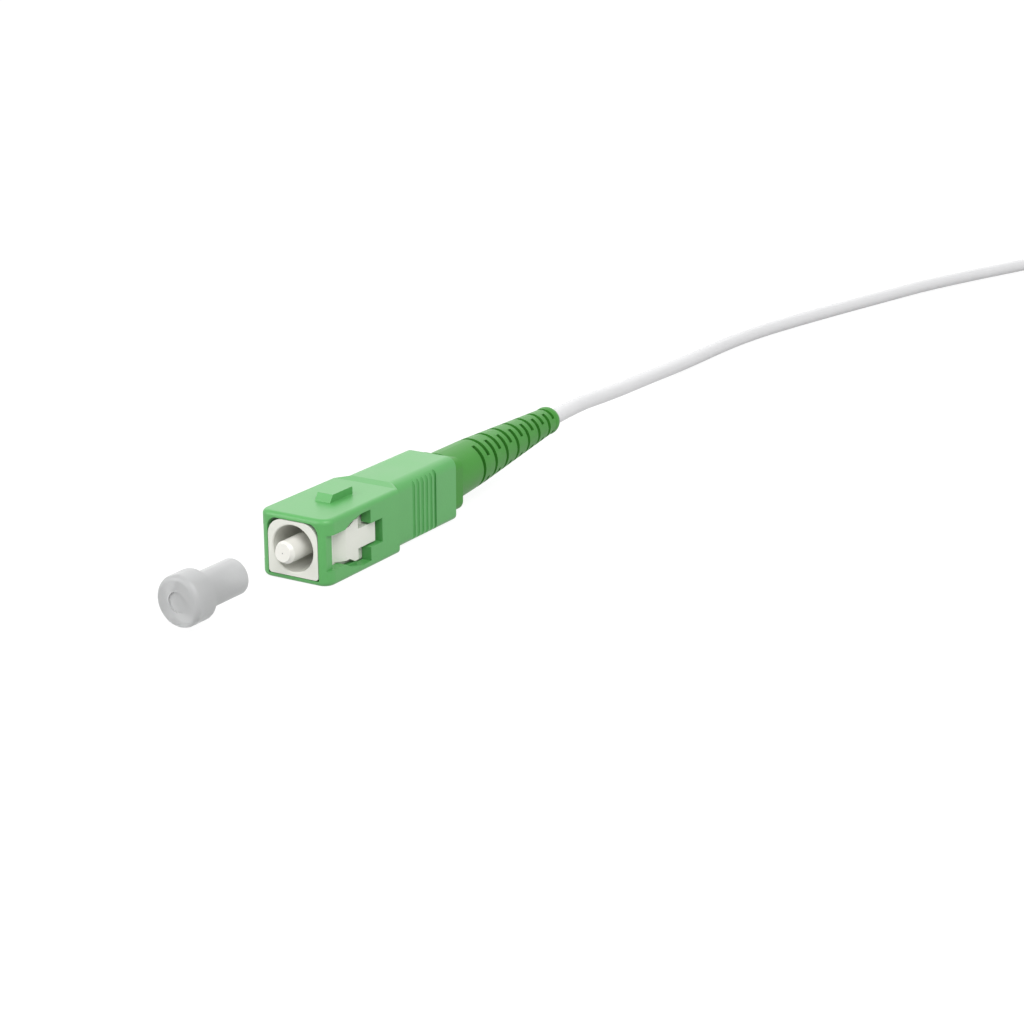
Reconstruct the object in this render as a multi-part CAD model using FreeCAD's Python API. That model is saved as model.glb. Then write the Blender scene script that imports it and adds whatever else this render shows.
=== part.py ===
"""SC/APC fibre connector with its dust cap, on a simplex pigtail cord.

Frame: millimetres. +X is the mating direction along the ferrule axis, +Z is up and carries the
key, and the origin lies on the ferrule axis in the plane of the plug frame's front face.
"""
import FreeCAD, Part
import math
import os

V = FreeCAD.Vector
AXIS_X, AXIS_Z = V(1, 0, 0), V(0, 0, 1)

# ---- driving dimensions -------------------------------------------------------------------
# grip housing (green, slides on the plug frame)
grip_width = 9.0
grip_height = 7.4
grip_front_len = 13.5
grip_length = 27.0
step_len = 1.1
rear_width = 7.3
rear_top = 3.9
rear_bottom = -3.6
front_corner_r = 1.4
edge_r = 0.55
rear_top_r = 1.25
rear_foot_r = 0.7
rear_bevel = 0.5
slide_gap = 0.08
float_room = 1.4
pocket_depth = 0.45
pocket_half_h = 1.95
pocket_len = 8.0
post_len = 1.4
cavity_len = 11.0
window_rear_half_h = 2.9
window_boss_half_h = 2.45
slot_half_h = 1.35
slot_rear = 10.2
rail_wall = 0.5
key_width = 2.0
key_height = 0.8
key_start = 5.5
key_len = 4.2
key_nose = 0.6
rib_count = 6
rib_start = 17.7
rib_pitch = 0.88
rib_groove_r = 0.26
last_groove_extra = 0.13
opening_corner_r = 1.2
opening_foot_r = 0.15
tail_recess_len = 2.0
tail_recess_half = 3.25
tail_corner_r = 1.2

# plug frame (white)
frame_width = 6.4
frame_height = 6.1
frame_head_len = 10.2
frame_inset = 6.0
frame_tail = 5.6
frame_corner_r = 1.9
frame_edge = 0.4
socket_r = 2.6
socket_len = 5.2
socket_lead = 0.1
web_len = 1.4
web_hole_r = 1.8
chamber_r = 2.3
boss_height = 0.8
boss_start = 2.8
boss_ramp = 1.2
boss_neck_len = 1.9
boss_flare = 0.9
boss_end = 6.3
boss_half_h = 2.3
boss_neck_half_h = 1.8
boss_root = 0.3
tongue_end = 9.5
tongue_half_h = 1.1
guide_width = 0.6
guide_height = 0.45
guide_len = 2.8
snap_inset = 2.2
snap_len = 2.2
snap_half_w = 1.1
fusion_bite = 0.2

# ferrule and its flange
ferrule_r = 1.25
ferrule_len = 10.1
ferrule_reach = 1.8
tip_r = 0.85
tip_cone_len = 0.5
ferrule_lead = 0.15
glue_groove_len = 0.6
glue_groove_depth = 0.2
apc_angle = 8.0
fibre_r = 0.0625
hub_r = 1.65
hub_lead = 0.2
rim_gap = 0.1
rim_len = 2.0
rim_slot_gap = 0.1
stem_r = 1.2
stem_len = 4.4
tube_seat_len = 0.6
buffer_r = 0.45
buffer_gap = 0.05
float_back = 1.6
buffer_clear = 0.4

# spring
spring_len = 5.4
spring_mean_r = 1.6
spring_wire_r = 0.2
spring_turns = 5.0

# backbone, crimp and guide tube
backbone_gap = 0.03
backbone_bore_r = 1.35
backbone_collar_r = 2.75
backbone_collar_len = 1.2
backbone_stem_r = 1.75
backbone_stem_len = 6.2
knurl_count = 3
knurl_pitch = 1.6
knurl_depth = 0.12
knurl_half_w = 0.3
knurl_first = 0.6
barb_height = 0.35
barb_toe = 0.1
barb_root = 0.4
guide_tube_r = 0.85
guide_tube_len = 5.6
yarn_thick = 0.15
crimp_wall = 0.4
crimp_lead = 0.7
crimp_step = 0.2
crimp_neck_len = 3.6
crimp_neck_wall = 0.45
crimp_cone_len = 0.8

# boot
boot_gap = 0.02
boot_inset = 0.4
collar_half = 3.15
collar_len = 2.2
boot_r = 3.18
boot_body_len = 7.2
boot_body_r = 2.92
boot_taper_len = 18.8
boot_end_r = 1.72
boot_nose_len = 1.6
boot_mouth_r = 1.3
boot_cord_gap = 0.12
boot_pivot = 4.8
boot_lean_y = -0.03
boot_lean_z = 0.027
boot_bite = 0.15
slot_count = 7
slot_start = 7.2
slot_pitch = 3.06
slot_width = 0.65
slot_floor_r = 1.85
slot_floor_end_r = 1.36
slot_span = 128.0
boot_round_share = 0.78
boot_round_rise = 0.68

# dust cap
cap_bore_gap = 0.03
cap_tube_r = 1.95
cap_tube_len = 6.15
cap_head_r = 2.74
cap_head_len = 3.05
cap_bore_len = 7.4
cap_off = 9.8
cap_round = 0.6
cap_edge = 0.3
cap_lead = 0.3
cap_dimple_r = 1.1
cap_dimple_depth = 0.2

# cord
cord_r = 1.0
bend_share = 0.45
coil_turn_r = 10.0
coil_half_width = 3.0
coil_height = 8.0
tie_thick = 0.3
tie_angle = 12.0
entry_angle = 70.4
entry_spare = 0.2
tail_angle = 60.0
tail_buffer_angle = 90.0
tail_fibre_angle = 40.0
tail_turn_r = 12.0
tie_places = (-85.0, 20.0)
coating_r = 0.125

# ---- places worked out from them ----------------------------------------------------------
half_h = grip_height / 2
floor_z = -half_h
web_x = -socket_len
seat_x = web_x - web_len
rim_r = chamber_r - rim_gap
rim_back_x = seat_x - rim_len
stem_end_x = rim_back_x - stem_len
ferrule_back_x = ferrule_reach - ferrule_len
spring_back_x = rim_back_x - spring_len
frame_back_x = -grip_length + frame_inset
snap_back_x = frame_back_x + snap_inset
snap_front_x = snap_back_x + snap_len
collar_back_x = frame_back_x - backbone_collar_len
stem_back_x = collar_back_x - backbone_stem_len
crimp_front_x = collar_back_x - crimp_lead
cone_front_x = stem_back_x - crimp_step
cone_back_x = cone_front_x - crimp_cone_len
crimp_back_x = cone_back_x - crimp_neck_len
crimp_bore_r = backbone_stem_r + yarn_thick
cord_start_x = cone_back_x
cavity_half_w = frame_width / 2 + slide_gap
cavity_half_h = frame_height / 2 + slide_gap
tail_half = frame_tail / 2
boot_neck_x = -grip_length + boot_inset
shoulder_x = boot_neck_x - collar_len
boot_body_x = shoulder_x - boot_body_len
boot_taper_x = boot_body_x - boot_taper_len
boot_end_x = boot_taper_x - boot_nose_len
pivot_x = shoulder_x + boot_pivot
groove_x = web_x + hub_lead / 2
rear_half_h = (rear_top - rear_bottom) / 2
rear_centre_z = (rear_top + rear_bottom) / 2
beyond = 1.0
light_sides = 6


# ---- small builders -----------------------------------------------------------------------
def block(x0, x1, y0, y1, z0, z1):
    return Part.makeBox(x1 - x0, y1 - y0, z1 - z0, V(x0, y0, z0))


def rod(radius, x0, x1):
    """Round bar along X between x0 and x1."""
    return Part.makeCylinder(radius, abs(x1 - x0), V(min(x0, x1), 0, 0), AXIS_X)


def polygon(points):
    return Part.Face(Part.makePolygon(points + [points[0]]))


def turned(profile):
    """Solid of revolution about X from (x, radius) points."""
    return polygon([V(x, 0, r) for x, r in profile]).revolve(V(0, 0, 0), AXIS_X, 360)


def side_plate(outline, y0, y1):
    """(x, z) outline given thickness from y0 to y1."""
    return polygon([V(x, y0, z) for x, z in outline]).extrude(V(0, y1 - y0, 0))


def faceted_ring(centre, radius, across, up):
    """Closed light_sides-sided wire round a centre, in the plane of two unit vectors."""
    corners = []
    for i in range(light_sides + 1):
        a = 2 * math.pi * i / light_sides
        corners.append(centre + across * (radius * math.cos(a)) + up * (radius * math.sin(a)))
    return Part.makePolygon(corners)


def mirrored(shape):
    """The shape and its twin across the plane Y = 0."""
    return [shape, shape.mirror(V(0, 0, 0), V(0, 1, 0))]


def edges_at(shape, test):
    return [e for e in shape.Edges if test(e.CenterOfMass, e)]


def ring_of(edge, radius):
    """Whether the edge is a full circle of this radius round the ferrule axis."""
    return abs(edge.Length - 2 * math.pi * radius) < 1e-3 * radius


def along(edge, axis):
    return abs(edge.tangentAt(edge.FirstParameter).dot(axis)) > 0.99


def first_solid(shape):
    return shape.Solids[0] if len(shape.Solids) == 1 else shape


def rounded_wire(half_w, half_h, radius, x, centre_z=0.0, foot_r=None):
    """Closed rectangle in the plane X = x, its lower corners rounded by foot_r if that's given."""
    sheet = block(x, x + 1, -half_w, half_w, centre_z - half_h, centre_z + half_h)
    for corner_r, upper in ((radius, True), (foot_r or radius, False)):
        sheet = sheet.makeFillet(corner_r, edges_at(
            sheet, lambda c, e: along(e, AXIS_X) and (c.z > centre_z) == upper))
    face = min(sheet.Faces, key=lambda f: f.CenterOfMass.x)
    return face.OuterWire


def rounded_bar(half_w, half_h, radius, x0, x1, centre_z=0.0, foot_r=None):
    face = Part.Face(rounded_wire(half_w, half_h, radius, x0, centre_z, foot_r))
    return face.extrude(V(x1 - x0, 0, 0))


# ---- grip housing -------------------------------------------------------------------------
def window_outline(half_h_at_boss, half_h_at_rear):
    """Side window: narrow at the post, flared over the boss, then a slot for the tongue."""
    flare = boss_start + boss_neck_len - float_room
    upper = [(-post_len, pocket_half_h), (-flare, pocket_half_h),
             (-flare - boss_flare, half_h_at_boss), (-boss_end, half_h_at_rear),
             (-pocket_len, half_h_at_rear), (-pocket_len, slot_half_h), (-slot_rear, slot_half_h)]
    return upper + [(x, -z) for x, z in reversed(upper)]


def grip_housing():
    front = block(-grip_front_len, 0, -grip_width / 2, grip_width / 2, -half_h, half_h)
    front = front.makeFillet(front_corner_r, edges_at(
        front, lambda c, e: along(e, AXIS_Z) and abs(c.x) < 1e-6))
    front = front.makeFillet(edge_r, edges_at(
        front, lambda c, e: abs(abs(c.z) - half_h) < 1e-6 and c.x > -grip_front_len + 1e-6))
    step = Part.makeLoft([
        rounded_wire(grip_width / 2, half_h, edge_r, -grip_front_len),
        rounded_wire(rear_width / 2, rear_half_h, rear_top_r, -grip_front_len - step_len,
                     rear_centre_z, rear_foot_r),
    ], True)
    rear = rounded_bar(rear_width / 2, rear_half_h, rear_top_r,
                       -grip_length, -grip_front_len - step_len, rear_centre_z, rear_foot_r)
    rear = rear.makeChamfer(rear_bevel, edges_at(
        rear, lambda c, e: abs(c.x + grip_length) < 1e-6))
    nose = [(-key_start, half_h), (-key_start - key_nose, half_h + key_height),
            (-key_start - key_len, half_h + key_height), (-key_start - key_len, half_h - edge_r),
            (-key_start, half_h - edge_r)]
    key = side_plate(nose, -key_width / 2, key_width / 2)
    body = front.fuse([step, rear, key]).removeSplitter()

    cuts = [rounded_bar(cavity_half_w, cavity_half_h, opening_corner_r, -cavity_len, beyond,
                        foot_r=opening_foot_r),
            rounded_bar(tail_half + slide_gap, tail_half + slide_gap, frame_edge,
                        -grip_length - beyond, -slot_rear),
            rounded_bar(tail_recess_half, tail_recess_half, tail_corner_r,
                        -grip_length - beyond, -grip_length + tail_recess_len)]
    outer_face = grip_width / 2
    outside = outer_face + beyond
    cuts += mirrored(block(-pocket_len, beyond, outer_face - pocket_depth, outside,
                           -pocket_half_h, pocket_half_h))
    inside = cavity_half_w - fusion_bite
    cuts += mirrored(side_plate(window_outline(window_boss_half_h, window_boss_half_h),
                                inside, outside))
    cuts += mirrored(side_plate(window_outline(window_boss_half_h, window_rear_half_h),
                                cavity_half_w + rail_wall, outside))
    cuts += mirrored(block(-pocket_len, -boss_end, inside, outside,
                           -window_rear_half_h, window_rear_half_h))
    for i in range(rib_count):
        deeper = last_groove_extra if i == rib_count - 1 else 0
        groove = Part.makeCylinder(rib_groove_r, rear_top - rear_bottom + 2 * beyond,
                                   V(-rib_start - i * rib_pitch, rear_width / 2 - deeper,
                                     rear_bottom - beyond), AXIS_Z)
        cuts += mirrored(groove)
    return first_solid(body.cut(cuts))


# ---- plug frame ---------------------------------------------------------------------------
def boss():
    """Latch boss with its ramp, and the tongue behind it, on one side of the frame."""
    face = frame_width / 2
    top = face + boss_height
    neck_end = boss_start + boss_neck_len
    side_view = [(-boss_start, boss_neck_half_h), (-neck_end, boss_neck_half_h),
                 (-neck_end - boss_flare, boss_half_h), (-boss_end, boss_half_h),
                 (-boss_end, tongue_half_h), (-tongue_end, tongue_half_h)]
    side_view += [(x, -z) for x, z in reversed(side_view)]
    outline = side_plate(side_view, face - boss_root, top)
    plan = polygon([V(-boss_start, face - boss_root, -boss_half_h),
                    V(-boss_start, face, -boss_half_h),
                    V(-boss_start - boss_ramp, top, -boss_half_h),
                    V(-tongue_end, top, -boss_half_h),
                    V(-tongue_end, face - boss_root, -boss_half_h)])
    return outline.common(plan.extrude(V(0, 0, 2 * boss_half_h)))


def plug_frame():
    head = rounded_bar(frame_width / 2, frame_height / 2, frame_corner_r, -frame_head_len, 0,
                       foot_r=frame_edge)
    tail = rounded_bar(tail_half, tail_half, frame_edge, frame_back_x, -frame_head_len)
    body = head.fuse([tail] + mirrored(boss())).removeSplitter()
    bore = turned([(beyond, 0), (beyond, socket_r + socket_lead), (0, socket_r + socket_lead),
                   (-socket_lead, socket_r), (web_x, socket_r), (web_x, web_hole_r),
                   (seat_x, web_hole_r), (seat_x, chamber_r),
                   (frame_back_x - beyond, chamber_r), (frame_back_x - beyond, 0)])
    windows = mirrored(block(snap_back_x, snap_front_x, 0, tail_half + beyond,
                             -snap_half_w, snap_half_w))
    guide = block(seat_x - guide_len, seat_x, -guide_width / 2, guide_width / 2,
                  chamber_r - guide_height, chamber_r + fusion_bite)
    guides = [guide, guide.mirror(V(0, 0, 0), AXIS_Z)]
    return first_solid(body.cut([bore] + windows).fuse(guides).removeSplitter())


# ---- ferrule assembly ---------------------------------------------------------------------
def apc_slice(radius):
    """Everything in front of the end face, which leans back by apc_angle on the key side."""
    lean = math.tan(math.radians(apc_angle))
    big = radius * 4
    far = ferrule_reach + big
    return side_plate([(ferrule_reach + big * lean, -big), (far, -big), (far, big),
                       (ferrule_reach - big * lean, big)], -big, big)


def ferrule():
    cone_x = ferrule_reach - tip_cone_len
    blank_x = ferrule_reach + tip_r * math.tan(math.radians(apc_angle)) + ferrule_lead / 2
    groove_back_x = groove_x - glue_groove_len
    groove_r = ferrule_r - glue_groove_depth
    body = turned([(ferrule_back_x, 0), (ferrule_back_x, ferrule_r - ferrule_lead),
                   (ferrule_back_x + ferrule_lead, ferrule_r), (groove_back_x, ferrule_r),
                   (groove_back_x, groove_r), (groove_x, groove_r), (groove_x, ferrule_r),
                   (cone_x, ferrule_r), (blank_x, tip_r), (blank_x, 0)])
    bore = rod(fibre_r, ferrule_back_x - beyond, blank_x + beyond)
    return first_solid(body.cut([apc_slice(ferrule_r), bore]))


def optical_fibre():
    blank = rod(fibre_r, ferrule_back_x, ferrule_reach + beyond)
    return first_solid(blank.cut(apc_slice(ferrule_r)))


def ferrule_flange():
    body = turned([(web_x + hub_lead, 0), (web_x + hub_lead, hub_r), (seat_x, hub_r),
                   (seat_x, rim_r), (rim_back_x, rim_r), (rim_back_x, stem_r),
                   (stem_end_x, stem_r), (stem_end_x, 0)])
    bores = [rod(ferrule_r, ferrule_back_x, 0),
             rod(buffer_r + buffer_gap, stem_end_x - beyond, 0),
             rod(guide_tube_r, stem_end_x - beyond, stem_end_x + tube_seat_len)]
    slot_half = guide_width / 2 + rim_slot_gap
    slot_floor = chamber_r - guide_height - rim_slot_gap
    slots = []
    for turn in range(4):
        slot = block(rim_back_x, seat_x, -slot_half, slot_half, slot_floor, chamber_r)
        slot.rotate(V(0, 0, 0), AXIS_X, 90 * turn)
        slots.append(slot)
    return first_solid(body.cut(bores + slots))


def guide_tube():
    front = stem_end_x + tube_seat_len
    back = front - guide_tube_len
    return rod(guide_tube_r, back, front).cut(
        rod(buffer_r + buffer_gap, back - beyond, front + beyond))


def spring():
    """Compression spring between the rim and the backbone."""
    pitch = (spring_len - 2 * spring_wire_r) / spring_turns
    start = V(rim_back_x - spring_wire_r, 0, 0)
    helix = Part.makeHelix(pitch, pitch * spring_turns, spring_mean_r)
    section = faceted_ring(V(spring_mean_r, 0, 0), spring_wire_r, AXIS_X, AXIS_Z)
    coil = Part.Wire(helix.Edges).makePipeShell([section], True, True)
    coil.rotate(V(0, 0, 0), V(0, 1, 0), -90)
    coil.translate(start)
    return coil


# ---- backbone and crimp -------------------------------------------------------------------
def backbone():
    front_r = chamber_r - backbone_gap
    profile = [(spring_back_x, backbone_bore_r), (spring_back_x, front_r),
               (frame_back_x, front_r), (frame_back_x, backbone_collar_r),
               (collar_back_x, backbone_collar_r), (collar_back_x, backbone_stem_r)]
    for i in range(knurl_count):
        mid = crimp_front_x - knurl_first - knurl_pitch * i
        profile += [(mid + knurl_half_w, backbone_stem_r), (mid, backbone_stem_r - knurl_depth),
                    (mid - knurl_half_w, backbone_stem_r)]
    profile += [(stem_back_x, backbone_stem_r), (stem_back_x, backbone_bore_r)]
    body = turned(profile)
    ramp = polygon([V(snap_back_x, 0, -snap_half_w),
                    V(snap_back_x, chamber_r + barb_height, -snap_half_w),
                    V(snap_front_x, chamber_r - barb_toe, -snap_half_w),
                    V(snap_front_x, 0, -snap_half_w)]).extrude(V(0, 0, 2 * snap_half_w))
    inside = rod(chamber_r - barb_root, snap_back_x - beyond, snap_front_x + beyond)
    barbs = mirrored(ramp.cut(inside))
    return first_solid(body.fuse(barbs).removeSplitter())


def aramid_yarn():
    return rod(crimp_bore_r, stem_back_x, crimp_front_x).cut(
        rod(backbone_stem_r, stem_back_x - beyond, crimp_front_x + beyond))


def crimp_ring():
    outer_r = crimp_bore_r + crimp_wall
    neck_r = cord_r + crimp_neck_wall
    return turned([(crimp_front_x, crimp_bore_r), (crimp_front_x, outer_r),
                   (cone_front_x, outer_r), (cone_back_x, neck_r), (crimp_back_x, neck_r),
                   (crimp_back_x, cord_r), (cone_back_x, cord_r), (cone_front_x, crimp_bore_r)])


def fibre_buffer():
    return rod(buffer_r, cord_start_x, ferrule_back_x - float_back - buffer_clear)


# ---- boot ---------------------------------------------------------------------------------
def leaned(shape):
    """The shape turned about a point on its axis, so that it runs aside and up."""
    towards = V(-1, boot_lean_y, boot_lean_z)
    shape.rotate(V(pivot_x, 0, 0), AXIS_X.cross(towards),
                 -math.degrees((-AXIS_X).getAngle(towards)))
    return shape


def boot_tail():
    """Tapered sleeve with its bending slots, before it leans."""
    front_x = shoulder_x + boot_bite
    corners = [V(front_x, 0, 0), V(front_x, 0, boot_r), V(boot_body_x, 0, boot_body_r),
               V(boot_taper_x, 0, boot_end_r)]
    lip, end = V(boot_end_x, 0, boot_mouth_r), V(boot_end_x, 0, 0)
    round_mid = V(boot_taper_x - boot_round_share * boot_nose_len, 0,
                  boot_mouth_r + boot_round_rise * (boot_end_r - boot_mouth_r))
    sides = [Part.makeLine(a, b) for a, b in zip(corners, corners[1:])]
    nose = Part.Arc(corners[-1], round_mid, lip).toShape()
    outline = Part.Wire(sides + [nose, Part.makeLine(lip, end), Part.makeLine(end, corners[0])])
    sleeve = Part.Face(outline).revolve(V(0, 0, 0), AXIS_X, 360)
    floor = turned([(shoulder_x, 0), (shoulder_x, slot_floor_r), (boot_end_x, slot_floor_end_r),
                    (boot_end_x, 0)])
    slots = []
    for i in range(slot_count):
        for row, shift in ((0, 0), (90, slot_pitch / 2)):
            x = shoulder_x - slot_start - i * slot_pitch + shift
            for side in (0, 180):
                ring = Part.makeCylinder(boot_r + beyond, slot_width, V(x - slot_width / 2, 0, 0),
                                         AXIS_X, slot_span)
                ring.rotate(V(0, 0, 0), AXIS_X, row + side - slot_span / 2)
                slots.append(ring.cut(floor))
    return sleeve.cut(slots)


def boot():
    crimp_r = crimp_bore_r + crimp_wall + boot_gap
    neck_r = cord_r + crimp_neck_wall + boot_gap
    core = turned([(collar_back_x, 0), (collar_back_x, backbone_collar_r),
                   (boot_neck_x, backbone_collar_r), (boot_neck_x, 0)])
    collar = rounded_bar(collar_half, collar_half, tail_corner_r, shoulder_x, boot_neck_x)
    body = core.fuse([collar, leaned(boot_tail())])
    crimp_space = turned([(collar_back_x + beyond, 0), (collar_back_x + beyond, crimp_r),
                          (cone_front_x - boot_gap, crimp_r), (cone_back_x - boot_gap, neck_r),
                          (crimp_back_x - boot_gap, neck_r), (crimp_back_x - boot_gap, 0)])
    cord_space = cord_tube(cord_route[:3], cord_r + boot_cord_gap, "boot bore")
    return first_solid(body.cut([crimp_space, cord_space]))


# ---- dust cap -----------------------------------------------------------------------------
def dust_cap():
    tube_x = cap_off
    head_x = tube_x + cap_tube_len
    face_x = head_x + cap_head_len
    bore_r = ferrule_r + cap_bore_gap
    body = turned([(tube_x, 0), (tube_x, cap_tube_r - cap_edge), (tube_x + cap_edge, cap_tube_r),
                   (head_x, cap_tube_r), (head_x, cap_head_r - cap_edge),
                   (head_x + cap_edge, cap_head_r), (face_x, cap_head_r), (face_x, 0)])
    body = body.makeFillet(cap_round, edges_at(
        body, lambda c, e: ring_of(e, cap_head_r) and c.x > head_x + cap_edge + cap_lead))
    bore = turned([(tube_x - beyond, 0), (tube_x - beyond, bore_r + cap_lead),
                   (tube_x, bore_r + cap_lead), (tube_x + cap_lead, bore_r),
                   (tube_x + cap_bore_len, bore_r), (tube_x + cap_bore_len, 0)])
    dimple = rod(cap_dimple_r, face_x - cap_dimple_depth, face_x + beyond)
    return first_solid(body.cut([bore, dimple]))


# ---- cord ---------------------------------------------------------------------------------
rest_z = floor_z + cord_r
coil_bottom = floor_z + tie_thick
coil_top = coil_bottom + coil_height
coil_z = coil_bottom + cord_r
outer_turn_r = coil_turn_r + coil_half_width - cord_r
coil_x, coil_y = -245.5, 17.0
cord_route = [(cord_start_x, 0, 0), (-36, 0, 0), (-62, -1.24, 1.12), (-74, -1.5, 0.3),
              (-88, -3.7, -1.1), (-104, -5.9, rest_z), (-126, -5.8, rest_z),
              (-146, -2.1, rest_z), (-164, 1.9, rest_z), (-182, 6.7, coil_z)]


def around_coil(angle, radius, z):
    a = math.radians(angle)
    return V(coil_x + radius * math.cos(a), coil_y + radius * math.sin(a), z)


def coil_entry():
    """Start of the straight lead-in, its direction, and its length to the outer turn."""
    a = math.radians(entry_angle)
    heading = V(-math.sin(a), math.cos(a), 0)
    reach = entry_spare + math.sqrt((outer_turn_r + cord_r) ** 2 - (outer_turn_r - cord_r) ** 2)
    return around_coil(entry_angle, outer_turn_r, coil_z) - heading * reach, heading, reach


def cord_tube(points, radius, label):
    """Straight runs joined by tangent arcs, as one swept tube."""
    pts = [V(*p) for p in points]
    edges, here, radii = [], pts[0], []
    for before, corner, after in zip(pts, pts[1:], pts[2:]):
        into = (corner - before).normalize()
        out = (after - corner).normalize()
        half_turn = into.getAngle(out) / 2
        cut = bend_share * min(before.distanceToPoint(corner), corner.distanceToPoint(after))
        radii.append(cut / math.tan(half_turn))
        start, end = corner - into * cut, corner + out * cut
        towards = (out - into).normalize()
        centre = corner + towards * (cut / math.sin(half_turn))
        middle = centre - towards * radii[-1]
        edges += [Part.makeLine(here, start), Part.Arc(start, middle, end).toShape()]
        here = end
    edges.append(Part.makeLine(here, pts[-1]))
    path = Part.Wire(edges)
    section = Part.Face(Part.Wire(Part.makeCircle(radius, pts[0], pts[1] - pts[0])))
    tube = path.makePipe(section)
    print("%s: length %.1f, radii %s, volume ratio %.4f" % (
        label, path.Length, [round(r, 1) for r in radii],
        tube.Volume / (math.pi * radius ** 2 * path.Length)))
    return tube


def cable_jacket():
    return cord_tube(cord_route + [tuple(coil_entry()[0])], cord_r, "cable_jacket")


def ring_section(r0, r1, z0, z1):
    """Rectangle in the radial plane at angle zero, round the coil's axis."""
    return polygon([V(coil_x + r0, coil_y, z0), V(coil_x + r1, coil_y, z0),
                    V(coil_x + r1, coil_y, z1), V(coil_x + r0, coil_y, z1)])


def cable_coil():
    """Outer form of the wound cord, with the straight stretch that leads into it."""
    ring = ring_section(coil_turn_r - coil_half_width, coil_turn_r + coil_half_width,
                        coil_bottom, coil_top).revolve(V(coil_x, coil_y, 0), AXIS_Z, 360)
    start, heading, reach = coil_entry()
    lead = Part.makeCylinder(cord_r, reach, start, heading)
    return first_solid(ring.fuse(lead))


def coil_ties():
    inner, outer = coil_turn_r - coil_half_width, coil_turn_r + coil_half_width
    band = ring_section(inner - tie_thick, outer + tie_thick, floor_z, coil_top + tie_thick).cut(
        ring_section(inner, outer, coil_bottom, coil_top))
    ties = []
    for place in tie_places:
        tie = band.Faces[0].revolve(V(coil_x, coil_y, 0), AXIS_Z, tie_angle)
        tie.rotate(V(coil_x, coil_y, 0), AXIS_Z, place)
        ties.append(tie)
    return Part.makeCompound(ties)


def curled(radius, first, span, z):
    """Round length that follows the coil's curve, level at height z."""
    a = math.radians(first)
    end = faceted_ring(around_coil(first, tail_turn_r, z), radius,
                       V(math.cos(a), math.sin(a), 0), AXIS_Z)
    return Part.Face(end).revolve(V(coil_x, coil_y, 0), AXIS_Z, span)


def cord_tail():
    return curled(cord_r, entry_angle, tail_angle, coil_top + cord_r)


def tail_buffer():
    return curled(buffer_r, entry_angle + tail_angle, tail_buffer_angle, coil_top + buffer_r)


def tail_fibre():
    first = entry_angle + tail_angle + tail_buffer_angle
    return curled(coating_r, first, tail_fibre_angle, coil_top + buffer_r)


# ---- parts --------------------------------------------------------------------------------
NODES = {
    "grip_housing": grip_housing,
    "plug_frame": plug_frame,
    "ferrule": ferrule,
    "optical_fibre": optical_fibre,
    "ferrule_flange": ferrule_flange,
    "guide_tube": guide_tube,
    "spring": spring,
    "backbone": backbone,
    "aramid_yarn": aramid_yarn,
    "crimp_ring": crimp_ring,
    "fibre_buffer": fibre_buffer,
    "boot": boot,
    "dust_cap": dust_cap,
    "cable_jacket": cable_jacket,
    "cable_coil": cable_coil,
    "coil_ties": coil_ties,
    "cord_tail": cord_tail,
    "tail_buffer": tail_buffer,
    "tail_fibre": tail_fibre,
}

os.makedirs("parts", exist_ok=True)
for name, make in NODES.items():
    shape = make()
    if not shape.isValid() or shape.Volume <= 0 or not shape.Solids:
        raise SystemExit("%s is not a valid solid" % name)
    box = shape.BoundBox
    print("%-15s %2d solid(s)  %8.2f mm3  x %.2f..%.2f  y %.2f..%.2f  z %.2f..%.2f" % (
        name, len(shape.Solids), shape.Volume, box.XMin, box.XMax, box.YMin, box.YMax,
        box.ZMin, box.ZMax))
    shape.exportStep("parts/%s.step" % name)
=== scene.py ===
import bpy
import bmesh
import math
from mathutils import Matrix, Vector


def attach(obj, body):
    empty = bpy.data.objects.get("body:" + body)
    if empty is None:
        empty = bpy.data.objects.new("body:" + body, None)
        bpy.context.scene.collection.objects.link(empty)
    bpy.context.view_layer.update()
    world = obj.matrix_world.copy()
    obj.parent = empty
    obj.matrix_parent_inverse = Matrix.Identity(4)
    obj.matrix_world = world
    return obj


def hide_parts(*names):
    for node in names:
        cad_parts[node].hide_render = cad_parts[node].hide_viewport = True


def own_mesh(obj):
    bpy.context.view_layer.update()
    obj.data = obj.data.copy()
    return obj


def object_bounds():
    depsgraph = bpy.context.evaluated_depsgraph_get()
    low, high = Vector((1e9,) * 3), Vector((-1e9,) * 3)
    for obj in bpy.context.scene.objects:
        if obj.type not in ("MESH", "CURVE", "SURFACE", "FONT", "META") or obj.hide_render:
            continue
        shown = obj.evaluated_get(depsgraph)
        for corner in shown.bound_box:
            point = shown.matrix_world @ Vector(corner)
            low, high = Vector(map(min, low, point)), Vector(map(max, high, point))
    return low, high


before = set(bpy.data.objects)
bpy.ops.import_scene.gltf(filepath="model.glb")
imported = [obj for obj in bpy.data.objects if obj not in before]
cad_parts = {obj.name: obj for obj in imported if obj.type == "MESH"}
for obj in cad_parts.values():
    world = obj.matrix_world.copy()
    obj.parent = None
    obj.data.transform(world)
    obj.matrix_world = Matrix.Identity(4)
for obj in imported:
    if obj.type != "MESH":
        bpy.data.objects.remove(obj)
cadLow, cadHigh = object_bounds()
floorZ = cadLow.z
print("frame loaded:", len(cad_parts), "nodes")


# ---- shader helpers
class Signal:
    # a socket of one finish, so that shader maths reads as an expression
    def __init__(self, finish, socket):
        self.finish, self.socket = finish, socket

    def maths(self, operation, first, second):
        return self.finish.node("ShaderNodeMath", {"operation": operation}, {0: first, 1: second})

    def __add__(self, other):
        return self.maths("ADD", self, other)

    def __mul__(self, other):
        return self.maths("MULTIPLY", self, other)

    __radd__ = __add__
    __rmul__ = __mul__


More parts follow.
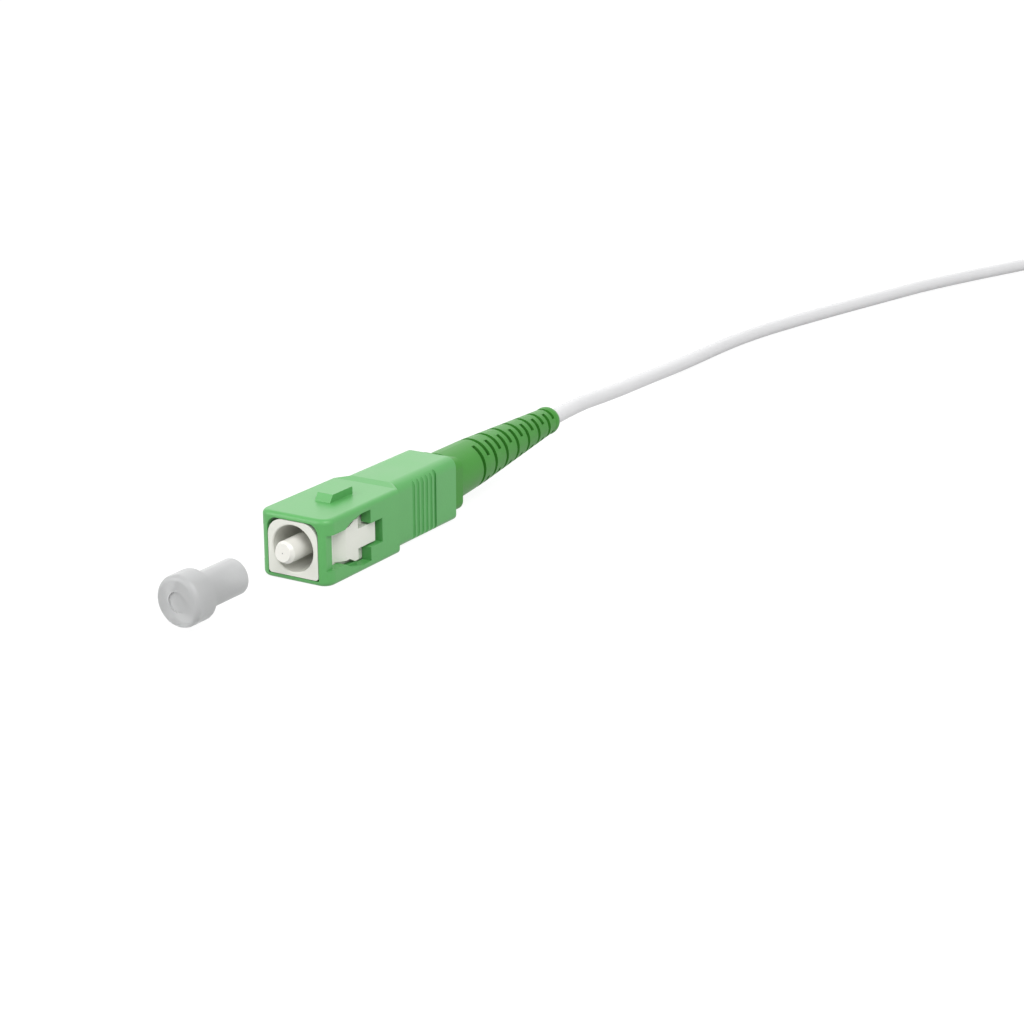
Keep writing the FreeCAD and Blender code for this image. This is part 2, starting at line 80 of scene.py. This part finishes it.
class Finish:
    # one material and its nodes
    def __init__(self, name, tree=None):
        if tree is None:
            self.material = bpy.data.materials.new(name)
            self.material.use_nodes = True
            tree = self.material.node_tree
        self.tree = tree
        self.tree.nodes.clear()

    def node(self, kind, settings=None, sockets=None, output=0):
        made = self.tree.nodes.new(kind)
        for key, value in (settings or {}).items():
            setattr(made, key, value)
        for key, value in (sockets or {}).items():
            if isinstance(value, Signal):
                self.tree.links.new(value.socket, made.inputs[key])
            else:
                made.inputs[key].default_value = value
        return Signal(self, made.outputs[output]) if made.outputs else None   # an output node has none

    def place(self):
        return self.node("ShaderNodeTexCoord", output="Object")

    def noise(self, size, detail=2.0, stretch=(1, 1, 1)):
        # size is that of one blotch, in metres
        spread = self.node("ShaderNodeMapping", {"vector_type": "POINT"},
                           {"Vector": self.place(), "Scale": stretch})
        return self.node("ShaderNodeTexNoise", None,
                         {"Vector": spread, "Scale": 1 / size, "Detail": detail}, "Fac")

    def tint(self, factor, first, second):
        # inputs 6 and 7 and output 2 are the colour ones of a Mix node
        return self.node("ShaderNodeMix", {"data_type": "RGBA"},
                         {0: factor, 6: (*first, 1), 7: (*second, 1)}, 2)

    def bump(self, height, depth, strength=1.0):
        return self.node("ShaderNodeBump", None,
                         {"Height": height, "Distance": depth, "Strength": strength})

    def surface(self, sockets):
        shader = self.node("ShaderNodeBsdfPrincipled", None, sockets)
        self.node("ShaderNodeOutputMaterial", None, {"Surface": shader})
        return self.material


def srgb(red, green, blue):
    # screen colour, 0 to 255, to the linear colour that shaders take
    return tuple(((c / 255 + 0.055) / 1.055) ** 2.4 for c in (red, green, blue))


# ---- camera
cameraSet = {
    "azimuth": 120.69,
    "elevation": 17.78,
    "place": (0.1674, 0.1262, 0.0709),
    "lens": 73.5,
    "clip": (0.01, 20),
}


def addCamera(cam):
    a, e = math.radians(cam["azimuth"]), math.radians(cam["elevation"])
    right = Vector((math.cos(a), math.sin(a), 0))
    back = Vector((math.sin(a) * math.cos(e), -math.cos(a) * math.cos(e), math.sin(e)))
    turn = Matrix((right, back.cross(right), back)).transposed()
    camera = bpy.data.objects.new("camera", bpy.data.cameras.new("camera"))
    camera.matrix_world = Matrix.Translation(cam["place"]) @ turn.to_4x4()
    camera.data.lens = cam["lens"]
    camera.data.clip_start, camera.data.clip_end = cam["clip"]
    bpy.context.scene.collection.objects.link(camera)
    bpy.context.scene.camera = camera


addCamera(cameraSet)
print("camera placed")

# ---- cord
cord = {
    "radius": 0.001,
    "length": 0.98,
    "exit": (-0.0564, -0.0010, 0.0009),
    "route": [(-0.0294, 0, 0), (-0.036, 0, 0), (-0.062, -0.00124, 0.00112),
              (-0.074, -0.0015, 0.0003), (-0.088, -0.0037, -0.0011), (-0.104, -0.0059, -0.0027),
              (-0.126, -0.0058, -0.0027), (-0.146, -0.0021, -0.0027), (-0.164, 0.0019, -0.0027),
              (-0.182, 0.0067, -0.0024)],
    "coilCentre": (-0.2455, 0.0170),
    "entryAngle": 70.4,      # where the outer turn is met, degrees
    "lead": 0.0071,          # straight stretch before the outer turn
    "innerTurn": 0.008,
    "turnsAcross": 3,
    "layers": 4,
    "bottom": -0.0024,       # middle of the lowest layer
    "step": 20,              # degrees between the points of a turn
    "jog": 60,               # stretch of each turn that steps to the next
    "tail": 60,              # degrees of the last, open turn
    "smoothness": 6,         # steps between two points of the spline
    "roundness": 5,
    "weld": 1e-7,
}


def coilPoint(angle, radius, height):
    a = math.radians(angle)
    x, y = cord["coilCentre"]
    return Vector((x + radius * math.cos(a), y + radius * math.sin(a), height))


def coilTurns():
    # radius and height of each turn: layer by layer, inwards, then outwards, then inwards
    pitch = 2 * cord["radius"]
    radii = [cord["innerTurn"] + pitch * i for i in range(cord["turnsAcross"])]
    turns = []
    for layer in range(cord["layers"]):
        height = cord["bottom"] + pitch * layer
        for radius in (radii if layer % 2 else radii[::-1]):
            turns.append((radius, height))
    turns.append((turns[-1][0], turns[-1][1] + pitch))
    return turns


def coilPoints():
    step, jog = cord["step"], cord["jog"]
    swell = 1 / math.cos(math.radians(step / 2))
    points, turns = [], coilTurns()
    for (radius, height), (nextRadius, nextHeight) in zip(turns, turns[1:]):
        for i in range(360 // step):
            way = step * (i + 0.5)
            share = max(0.0, (way - (360 - jog)) / jog)
            ease = math.radians(90 * share)
            r = radius + (nextRadius - radius) * (1 - math.cos(ease))
            z = height + (nextHeight - height) * math.sin(ease)
            points.append(coilPoint(cord["entryAngle"] + way, r * swell, z))
    radius, height = turns[-1]
    for i in range(cord["tail"] // step):
        points.append(coilPoint(cord["entryAngle"] + step * (i + 0.5), radius * swell, height))
    points.append(coilPoint(cord["entryAngle"] + cord["tail"], radius, height))
    return points


def splineCurve(points):
    curve = bpy.data.curves.new("cordLine", "CURVE")
    curve.dimensions = "3D"
    spline = curve.splines.new("NURBS")
    spline.points.add(len(points) - 1)
    for point, place in zip(spline.points, points):
        point.co = (*place, 1)
    spline.order_u = 3
    spline.use_endpoint_u = True
    spline.resolution_u = cord["smoothness"]
    return curve


def meshOf(curve):
    # the curve as a mesh of its own
    holder = bpy.data.objects.new("holder", curve)
    bpy.context.scene.collection.objects.link(holder)
    mesh = bpy.data.meshes.new_from_object(
        holder.evaluated_get(bpy.context.evaluated_depsgraph_get()))
    bpy.data.objects.remove(holder)
    return mesh


def addCord():
    # the tube as a mesh, and the centreline that it follows
    a = math.radians(cord["entryAngle"])
    heading = Vector((-math.sin(a), math.cos(a), 0))
    outer, height = coilTurns()[0]
    entry = coilPoint(cord["entryAngle"], outer, height) - heading * cord["lead"]
    curve = splineCurve([Vector(p) for p in cord["route"]] + [entry] + coilPoints())
    line = [tuple(v.co) for v in meshOf(curve).vertices]
    curve.bevel_depth = cord["radius"]
    curve.bevel_resolution = cord["roundness"]
    curve.use_fill_caps = True
    mesh = meshOf(curve)
    shape = bmesh.new()
    shape.from_mesh(mesh)
    bmesh.ops.remove_doubles(shape, verts=shape.verts, dist=cord["weld"])
    bmesh.ops.recalc_face_normals(shape, faces=shape.faces)
    for face in shape.faces:
        face.smooth = len(face.verts) == 4   # the end caps stay flat
    shape.to_mesh(mesh)
    shape.free()
    piece = bpy.data.objects.new("cord", mesh)
    bpy.context.scene.collection.objects.link(piece)
    return piece, line


cordPiece, cordLine = addCord()
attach(cordPiece, "plug")
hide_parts("cable_jacket", "cable_coil", "cord_tail")
print("cord laid")


def squashSpring():
    piece = bpy.data.objects["spring"]
    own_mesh(piece)


squashSpring()
print("spring set")

# ---- finishes
mouldSet = {"cloudDetail": 3, "grainDetail": 1, "bumpStrength": 0.5}
housingLook = {
    "colour": srgb(84, 160, 86),
    "deep": srgb(78, 152, 80),
    "rough": (0.34, 0.44),
    "mottle": 0.004,
    "grain": 0.00022,
    "grainDepth": 0.000012,
}


def mouldedPlastic(name, look, extra=None):
    # a faint mottle in the colour, and the fine grain of a mould
    finish = Finish(name)
    cloud = finish.noise(look["mottle"], mouldSet["cloudDetail"])
    grain = finish.noise(look["grain"], mouldSet["grainDetail"])
    low, high = look["rough"]
    return finish.surface({
        "Base Color": finish.tint(cloud, look["deep"], look["colour"]),
        "Roughness": cloud * (high - low) + low,
        "Normal": finish.bump(grain, look["grainDepth"], mouldSet["bumpStrength"]),
        **(extra or {}),
    })


def dress(material, *nodes):
    for name in nodes:
        piece = bpy.data.objects[name]
        piece.data.materials.clear()
        piece.data.materials.append(material)


dress(mouldedPlastic("housingGreen", housingLook), "grip_housing")
dress(mouldedPlastic("bootGreen", {
    "colour": srgb(62, 137, 48),
    "deep": srgb(55, 127, 42),
    "rough": (0.42, 0.52),
    "mottle": 0.003,
    "grain": 0.00018,
    "grainDepth": 0.000015,
}, {"Specular IOR Level": 0.3}), "boot")
dress(mouldedPlastic("frameWhite", {
    "colour": srgb(217, 218, 210),
    "deep": srgb(209, 210, 201),
    "rough": (0.38, 0.48),
    "mottle": 0.003,
    "grain": 0.0002,
    "grainDepth": 0.00001,
}), "plug_frame")
dress(mouldedPlastic("cordWhite", {
    "colour": srgb(210, 210, 211),
    "deep": srgb(203, 203, 204),
    "rough": (0.4, 0.5),
    "mottle": 0.006,
    "grain": 0.0002,
    "grainDepth": 0.00001,
}), "cord")
dress(mouldedPlastic("bufferWhite", {
    "colour": srgb(234, 234, 232),
    "deep": srgb(228, 228, 225),
    "rough": (0.3, 0.38),
    "mottle": 0.003,
    "grain": 0.0001,
    "grainDepth": 0.000004,
}), "fibre_buffer", "tail_buffer")
dress(mouldedPlastic("guideTube", {
    "colour": srgb(238, 238, 232),
    "deep": srgb(226, 226, 219),
    "rough": (0.42, 0.5),
    "mottle": 0.002,
    "grain": 0.0001,
    "grainDepth": 0.000004,
}, {"Subsurface Weight": 0.3, "Subsurface Radius": (0.0004, 0.0004, 0.0004)}), "guide_tube")
dress(mouldedPlastic("capClear", {
    "colour": srgb(204, 205, 205),
    "deep": srgb(197, 198, 198),
    "rough": (0.3, 0.4),
    "mottle": 0.002,
    "grain": 0.0003,
    "grainDepth": 0.00001,
}, {"Transmission Weight": 0.45, "IOR": 1.5}), "dust_cap")
dress(mouldedPlastic("zirconia", {
    "colour": srgb(219, 218, 212),
    "deep": srgb(215, 214, 207),
    "rough": (0.16, 0.22),
    "mottle": 0.002,
    "grain": 0.0001,
    "grainDepth": 0.000002,
}), "ferrule")


turnedSet = {"cloudDetail": 2, "ringDetail": 1, "ringStretch": (1, 0.02, 0.02), "bumpStrength": 0.6}


def turnedMetal(name, look):
    # rings left by a tool, round the X axis
    finish = Finish(name)
    cloud = finish.noise(look["mottle"], turnedSet["cloudDetail"])
    rings = finish.noise(look["ring"], turnedSet["ringDetail"], turnedSet["ringStretch"])
    low, high = look["rough"]
    return finish.surface({
        "Base Color": finish.tint(cloud, look["deep"], look["colour"]),
        "Metallic": 1.0,
        "Roughness": rings * (high - low) + low,
        "Normal": finish.bump(rings, look["ringDepth"], turnedSet["bumpStrength"]),
    })


dress(turnedMetal("stainless", {
    "colour": srgb(206, 207, 208),
    "deep": srgb(190, 191, 194),
    "rough": (0.22, 0.36),
    "mottle": 0.002,
    "ring": 0.00006,
    "ringDepth": 0.000003,
}), "ferrule_flange")
dress(turnedMetal("springWire", {
    "colour": srgb(198, 199, 202),
    "deep": srgb(176, 177, 182),
    "rough": (0.26, 0.34),
    "mottle": 0.0009,
    "ring": 0.0004,
    "ringDepth": 0.000001,
}), "spring")
dress(turnedMetal("nickelBrass", {
    "colour": srgb(214, 210, 202),
    "deep": srgb(200, 194, 182),
    "rough": (0.3, 0.44),
    "mottle": 0.0025,
    "ring": 0.00009,
    "ringDepth": 0.000004,
}), "backbone", "crimp_ring")


def yarnLike(name, look):
    # strands along the X axis
    finish = Finish(name)
    strands = finish.noise(look["strand"], look["detail"], look["stretch"])
    low, high = look["rough"]
    return finish.surface({
        "Base Color": finish.tint(strands, look["deep"], look["colour"]),
        "Roughness": strands * (high - low) + low,
        "Sheen Weight": look["sheen"],
        "Normal": finish.bump(strands, look["depth"]),
    })


dress(yarnLike("aramid", {
    "colour": srgb(232, 200, 92),
    "deep": srgb(196, 152, 48),
    "strand": 0.00012,
    "detail": 2,
    "stretch": (0.03, 1, 1),
    "rough": (0.55, 0.70),
    "sheen": 0.4,
    "depth": 0.00004,
}), "aramid_yarn")


def wovenStrap(name, look):
    # threads both ways
    finish = Finish(name)
    long = look["threadStretch"]
    across = finish.noise(look["thread"], 0, (long, long, 1))
    along = finish.noise(look["thread"], 0, (1, 1, long))
    weave = across * along
    low, high = look["rough"]
    return finish.surface({
        "Base Color": finish.tint(weave, look["deep"], look["colour"]),
        "Roughness": weave * (high - low) + low,
        "Sheen Weight": look["sheen"],
        "Normal": finish.bump(weave, look["depth"]),
    })


dress(wovenStrap("tieStrap", {
    "colour": srgb(226, 226, 226),
    "deep": srgb(196, 196, 198),
    "thread": 0.0003,
    "threadStretch": 0.05,
    "rough": (0.6, 0.8),
    "sheen": 0.3,
    "depth": 0.00006,
}), "coil_ties")


glassSet = {"roughSpread": 0.04, "index": 1.46}


def clearGlass(name, look):
    finish = Finish(name)
    cloud = finish.noise(look["mottle"], 1)
    return finish.surface({
        "Base Color": finish.tint(cloud, look["deep"], look["colour"]),
        "Roughness": cloud * glassSet["roughSpread"] + look["rough"],
        "Transmission Weight": look["clear"],
        "IOR": glassSet["index"],
    })


dress(clearGlass("glassFibre", {
    "colour": srgb(236, 242, 246),
    "deep": srgb(226, 234, 240),
    "rough": 0.04,
    "clear": 0.9,
    "mottle": 0.001,
}), "optical_fibre")
dress(clearGlass("fibreCoating", {
    "colour": srgb(226, 232, 238),
    "deep": srgb(214, 222, 230),
    "rough": 0.16,
    "clear": 0.6,
    "mottle": 0.001,
}), "tail_fibre")
print("finishes made")

# ---- floor and light
stageSet = {
    "half": 2.0,
    "colour": srgb(205, 205, 205),
    "whiteShare": 0.75,
    "white": 1.2,
    "fill": 0.58,            # strength of the sky that lights things, next to 1 for the seen one
    "aim": (-0.03, 0, 0),
    "lamps": [               # name, place, width, watts
        ("key", (0.22, 0.42, 0.62), 0.55, 4.7),
        ("side", (0.60, -0.45, 0.42), 0.6, 3.8),
        ("back", (-0.90, -0.53, 0.36), 1.4, 4.8),
    ],
}


def seenOrMirrored(finish):
    # 1 for what the eye, a mirror or clear plastic sees, 0 for the light that falls on things
    path = finish.tree.nodes.new("ShaderNodeLightPath")
    eye, mirror, clear = (Signal(finish, path.outputs[n])
                          for n in ("Is Camera Ray", "Is Glossy Ray", "Is Transmission Ray"))
    return finish.node("ShaderNodeMath", {"operation": "MINIMUM"}, {0: eye + mirror + clear, 1: 1.0})


def addFloor():
    shape = bmesh.new()
    bmesh.ops.create_grid(shape, x_segments=1, y_segments=1, size=stageSet["half"])
    bmesh.ops.translate(shape, verts=shape.verts, vec=(0, 0, floorZ))
    mesh = bpy.data.meshes.new("floor")
    shape.to_mesh(mesh)
    shape.free()
    floor = bpy.data.objects.new("floor", mesh)
    bpy.context.scene.collection.objects.link(floor)
    finish = Finish("floorWhite")
    paper = finish.node("ShaderNodeBsdfDiffuse", None, {"Color": (*stageSet["colour"], 1)})
    glow = finish.node("ShaderNodeEmission", None, {"Strength": stageSet["white"]})
    mixed = finish.node("ShaderNodeMixShader", None,
                        {0: seenOrMirrored(finish) * stageSet["whiteShare"], 1: paper, 2: glow})
    finish.node("ShaderNodeOutputMaterial", None, {"Surface": mixed})
    mesh.materials.append(finish.material)


def addLight():
    world = bpy.data.worlds.new("studio")
    world.use_nodes = True
    bpy.context.scene.world = world
    finish = Finish("studio", world.node_tree)
    strength = seenOrMirrored(finish) * (1 - stageSet["fill"]) + stageSet["fill"]
    glow = finish.node("ShaderNodeBackground", None, {"Color": (1, 1, 1, 1), "Strength": strength})
    finish.node("ShaderNodeOutputWorld", None, {"Surface": glow})
    aim = Vector(stageSet["aim"])
    for name, place, size, power in stageSet["lamps"]:
        lamp = bpy.data.lights.new(name, "AREA")
        lamp.size, lamp.energy = size, power
        holder = bpy.data.objects.new(name, lamp)
        holder.location = place
        holder.rotation_euler = (aim - Vector(place)).to_track_quat("-Z", "Y").to_euler()
        bpy.context.scene.collection.objects.link(holder)


addFloor()
addLight()
bpy.context.scene.view_settings.view_transform = "Standard"
print("floor and light set")
